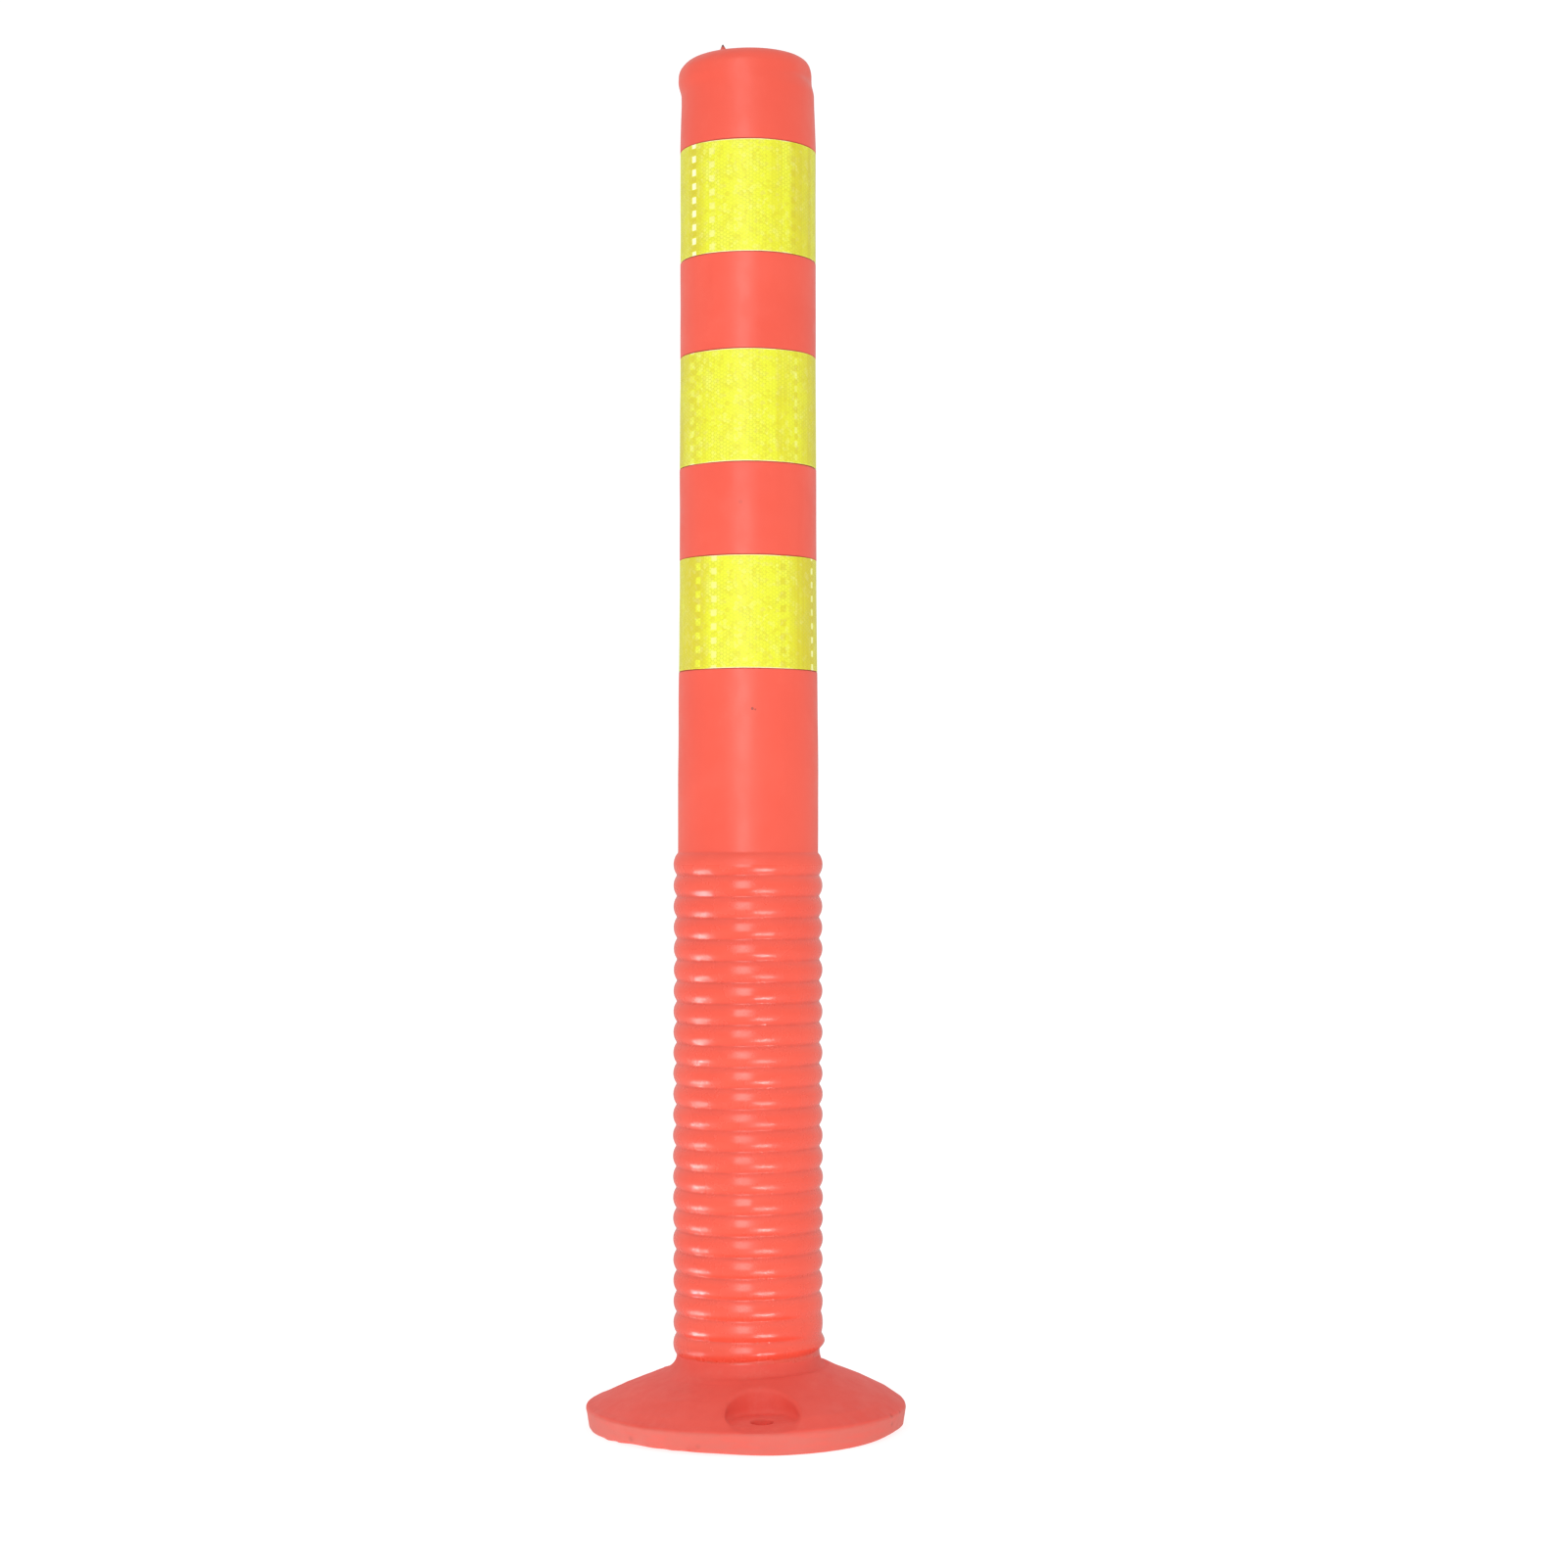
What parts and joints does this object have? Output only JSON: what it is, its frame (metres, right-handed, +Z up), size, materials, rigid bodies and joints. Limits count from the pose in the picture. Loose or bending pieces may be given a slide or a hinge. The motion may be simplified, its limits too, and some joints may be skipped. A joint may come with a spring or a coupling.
{
  "type": "delineator post",
  "caption": "Flexible traffic delineator post with a round flanged foot, a ribbed bending zone and retroreflective bands on a closed tube.",
  "frame": {"origin": "centre of the flange's underside, on the road surface", "axes": "+Z up along the post, -Y towards the front, +X to the right seen from the front"},
  "size_m": [0.175, 0.175, 0.75],
  "materials": {
    "flange_skin": "moulded polyurethane, matt and slightly chalky",
    "rib_skin": "moulded polyurethane, satin",
    "tube_skin": "moulded polyurethane, satin and smooth",
    "reflective_film": "fluorescent yellow-green prismatic film, glossy"
  },
  "bodies": {
    "foot": {"base_flange": "flange_skin"},
    "ring_01": {"rib_01": "rib_skin"},
    "ring_02": {"rib_02": "rib_skin"},
    "ring_03": {"rib_03": "rib_skin"},
    "ring_04": {"rib_04": "rib_skin"},
    "ring_05": {"rib_05": "rib_skin"},
    "ring_06": {"rib_06": "rib_skin"},
    "ring_07": {"rib_07": "rib_skin"},
    "ring_08": {"rib_08": "rib_skin"},
    "ring_09": {"rib_09": "rib_skin"},
    "ring_10": {"rib_10": "rib_skin"},
    "ring_11": {"rib_11": "rib_skin"},
    "ring_12": {"rib_12": "rib_skin"},
    "ring_13": {"rib_13": "rib_skin"},
    "ring_14": {"rib_14": "rib_skin"},
    "ring_15": {"rib_15": "rib_skin"},
    "ring_16": {"rib_16": "rib_skin"},
    "ring_17": {"rib_17": "rib_skin"},
    "ring_18": {"rib_18": "rib_skin"},
    "ring_19": {"rib_19": "rib_skin"},
    "ring_20": {"rib_20": "rib_skin"},
    "ring_21": {"rib_21": "rib_skin"},
    "ring_22": {"rib_22": "rib_skin"},
    "ring_23": {"rib_23": "rib_skin"},
    "post": {"rib_24": "rib_skin", "upper_tube": "tube_skin", "reflective_band_lower": "reflective_film", "reflective_band_middle": "reflective_film", "reflective_band_upper": "reflective_film"}
  },
  "joints": [
    {"name": "lean_front_back", "type": "hinge", "parent": "foot", "child": "ring_01", "pos_m": [0, 0, 0.03931], "axis": [1, 0, 0], "range_deg": [-6.25, 6.25], "stiffness_Nm_per_rad": 300, "deforming": ["rib_01"]},
    {"name": "lean_left_right", "type": "hinge", "parent": "ring_01", "child": "ring_02", "pos_m": [0, 0, 0.05059], "axis": [0, 1, 0], "range_deg": [-6.25, 6.25], "stiffness_Nm_per_rad": 300, "deforming": ["rib_02"]},
    {"name": "bend_03_front_back", "type": "hinge", "parent": "ring_02", "child": "ring_03", "pos_m": [0, 0, 0.06187], "axis": [1, 0, 0], "range_deg": [-6.25, 6.25], "stiffness_Nm_per_rad": 300, "deforming": ["rib_03"]},
    {"name": "bend_04_left_right", "type": "hinge", "parent": "ring_03", "child": "ring_04", "pos_m": [0, 0, 0.07315], "axis": [0, 1, 0], "range_deg": [-6.25, 6.25], "stiffness_Nm_per_rad": 300, "deforming": ["rib_04"]},
    {"name": "bend_05_front_back", "type": "hinge", "parent": "ring_04", "child": "ring_05", "pos_m": [0, 0, 0.08443], "axis": [1, 0, 0], "range_deg": [-6.25, 6.25], "stiffness_Nm_per_rad": 300, "deforming": ["rib_05"]},
    {"name": "bend_06_left_right", "type": "hinge", "parent": "ring_05", "child": "ring_06", "pos_m": [0, 0, 0.09571], "axis": [0, 1, 0], "range_deg": [-6.25, 6.25], "stiffness_Nm_per_rad": 300, "deforming": ["rib_06"]},
    {"name": "bend_07_front_back", "type": "hinge", "parent": "ring_06", "child": "ring_07", "pos_m": [0, 0, 0.10699], "axis": [1, 0, 0], "range_deg": [-6.25, 6.25], "stiffness_Nm_per_rad": 300, "deforming": ["rib_07"]},
    {"name": "bend_08_left_right", "type": "hinge", "parent": "ring_07", "child": "ring_08", "pos_m": [0, 0, 0.11827], "axis": [0, 1, 0], "range_deg": [-6.25, 6.25], "stiffness_Nm_per_rad": 300, "deforming": ["rib_08"]},
    {"name": "bend_09_front_back", "type": "hinge", "parent": "ring_08", "child": "ring_09", "pos_m": [0, 0, 0.12955], "axis": [1, 0, 0], "range_deg": [-6.25, 6.25], "stiffness_Nm_per_rad": 300, "deforming": ["rib_09"]},
    {"name": "bend_10_left_right", "type": "hinge", "parent": "ring_09", "child": "ring_10", "pos_m": [0, 0, 0.14083], "axis": [0, 1, 0], "range_deg": [-6.25, 6.25], "stiffness_Nm_per_rad": 300, "deforming": ["rib_10"]},
    {"name": "bend_11_front_back", "type": "hinge", "parent": "ring_10", "child": "ring_11", "pos_m": [0, 0, 0.15211], "axis": [1, 0, 0], "range_deg": [-6.25, 6.25], "stiffness_Nm_per_rad": 300, "deforming": ["rib_11"]},
    {"name": "bend_12_left_right", "type": "hinge", "parent": "ring_11", "child": "ring_12", "pos_m": [0, 0, 0.16339], "axis": [0, 1, 0], "range_deg": [-6.25, 6.25], "stiffness_Nm_per_rad": 300, "deforming": ["rib_12"]},
    {"name": "bend_13_front_back", "type": "hinge", "parent": "ring_12", "child": "ring_13", "pos_m": [0, 0, 0.17467], "axis": [1, 0, 0], "range_deg": [-6.25, 6.25], "stiffness_Nm_per_rad": 300, "deforming": ["rib_13"]},
    {"name": "bend_14_left_right", "type": "hinge", "parent": "ring_13", "child": "ring_14", "pos_m": [0, 0, 0.18595], "axis": [0, 1, 0], "range_deg": [-6.25, 6.25], "stiffness_Nm_per_rad": 300, "deforming": ["rib_14"]},
    {"name": "bend_15_front_back", "type": "hinge", "parent": "ring_14", "child": "ring_15", "pos_m": [0, 0, 0.19723], "axis": [1, 0, 0], "range_deg": [-6.25, 6.25], "stiffness_Nm_per_rad": 300, "deforming": ["rib_15"]},
    {"name": "bend_16_left_right", "type": "hinge", "parent": "ring_15", "child": "ring_16", "pos_m": [0, 0, 0.20851], "axis": [0, 1, 0], "range_deg": [-6.25, 6.25], "stiffness_Nm_per_rad": 300, "deforming": ["rib_16"]},
    {"name": "bend_17_front_back", "type": "hinge", "parent": "ring_16", "child": "ring_17", "pos_m": [0, 0, 0.21979], "axis": [1, 0, 0], "range_deg": [-6.25, 6.25], "stiffness_Nm_per_rad": 300, "deforming": ["rib_17"]},
    {"name": "bend_18_left_right", "type": "hinge", "parent": "ring_17", "child": "ring_18", "pos_m": [0, 0, 0.23107], "axis": [0, 1, 0], "range_deg": [-6.25, 6.25], "stiffness_Nm_per_rad": 300, "deforming": ["rib_18"]},
    {"name": "bend_19_front_back", "type": "hinge", "parent": "ring_18", "child": "ring_19", "pos_m": [0, 0, 0.24235], "axis": [1, 0, 0], "range_deg": [-6.25, 6.25], "stiffness_Nm_per_rad": 300, "deforming": ["rib_19"]},
    {"name": "bend_20_left_right", "type": "hinge", "parent": "ring_19", "child": "ring_20", "pos_m": [0, 0, 0.25363], "axis": [0, 1, 0], "range_deg": [-6.25, 6.25], "stiffness_Nm_per_rad": 300, "deforming": ["rib_20"]},
    {"name": "bend_21_front_back", "type": "hinge", "parent": "ring_20", "child": "ring_21", "pos_m": [0, 0, 0.26491], "axis": [1, 0, 0], "range_deg": [-6.25, 6.25], "stiffness_Nm_per_rad": 300, "deforming": ["rib_21"]},
    {"name": "bend_22_left_right", "type": "hinge", "parent": "ring_21", "child": "ring_22", "pos_m": [0, 0, 0.27619], "axis": [0, 1, 0], "range_deg": [-6.25, 6.25], "stiffness_Nm_per_rad": 300, "deforming": ["rib_22"]},
    {"name": "bend_23_front_back", "type": "hinge", "parent": "ring_22", "child": "ring_23", "pos_m": [0, 0, 0.28747], "axis": [1, 0, 0], "range_deg": [-6.25, 6.25], "stiffness_Nm_per_rad": 300, "deforming": ["rib_23"]},
    {"name": "bend_24_left_right", "type": "hinge", "parent": "ring_23", "child": "post", "pos_m": [0, 0, 0.29875], "axis": [0, 1, 0], "range_deg": [-6.25, 6.25], "stiffness_Nm_per_rad": 300}
  ],
  "couplings": [
    {"joint": "bend_03_front_back", "follows": "lean_front_back", "ratio": 1},
    {"joint": "bend_04_left_right", "follows": "lean_left_right", "ratio": 1},
    {"joint": "bend_05_front_back", "follows": "lean_front_back", "ratio": 1},
    {"joint": "bend_06_left_right", "follows": "lean_left_right", "ratio": 1},
    {"joint": "bend_07_front_back", "follows": "lean_front_back", "ratio": 1},
    {"joint": "bend_08_left_right", "follows": "lean_left_right", "ratio": 1},
    {"joint": "bend_09_front_back", "follows": "lean_front_back", "ratio": 1},
    {"joint": "bend_10_left_right", "follows": "lean_left_right", "ratio": 1},
    {"joint": "bend_11_front_back", "follows": "lean_front_back", "ratio": 1},
    {"joint": "bend_12_left_right", "follows": "lean_left_right", "ratio": 1},
    {"joint": "bend_13_front_back", "follows": "lean_front_back", "ratio": 1},
    {"joint": "bend_14_left_right", "follows": "lean_left_right", "ratio": 1},
    {"joint": "bend_15_front_back", "follows": "lean_front_back", "ratio": 1},
    {"joint": "bend_16_left_right", "follows": "lean_left_right", "ratio": 1},
    {"joint": "bend_17_front_back", "follows": "lean_front_back", "ratio": 1},
    {"joint": "bend_18_left_right", "follows": "lean_left_right", "ratio": 1},
    {"joint": "bend_19_front_back", "follows": "lean_front_back", "ratio": 1},
    {"joint": "bend_20_left_right", "follows": "lean_left_right", "ratio": 1},
    {"joint": "bend_21_front_back", "follows": "lean_front_back", "ratio": 1},
    {"joint": "bend_22_left_right", "follows": "lean_left_right", "ratio": 1},
    {"joint": "bend_23_front_back", "follows": "lean_front_back", "ratio": 1},
    {"joint": "bend_24_left_right", "follows": "lean_left_right", "ratio": 1}
  ]
}
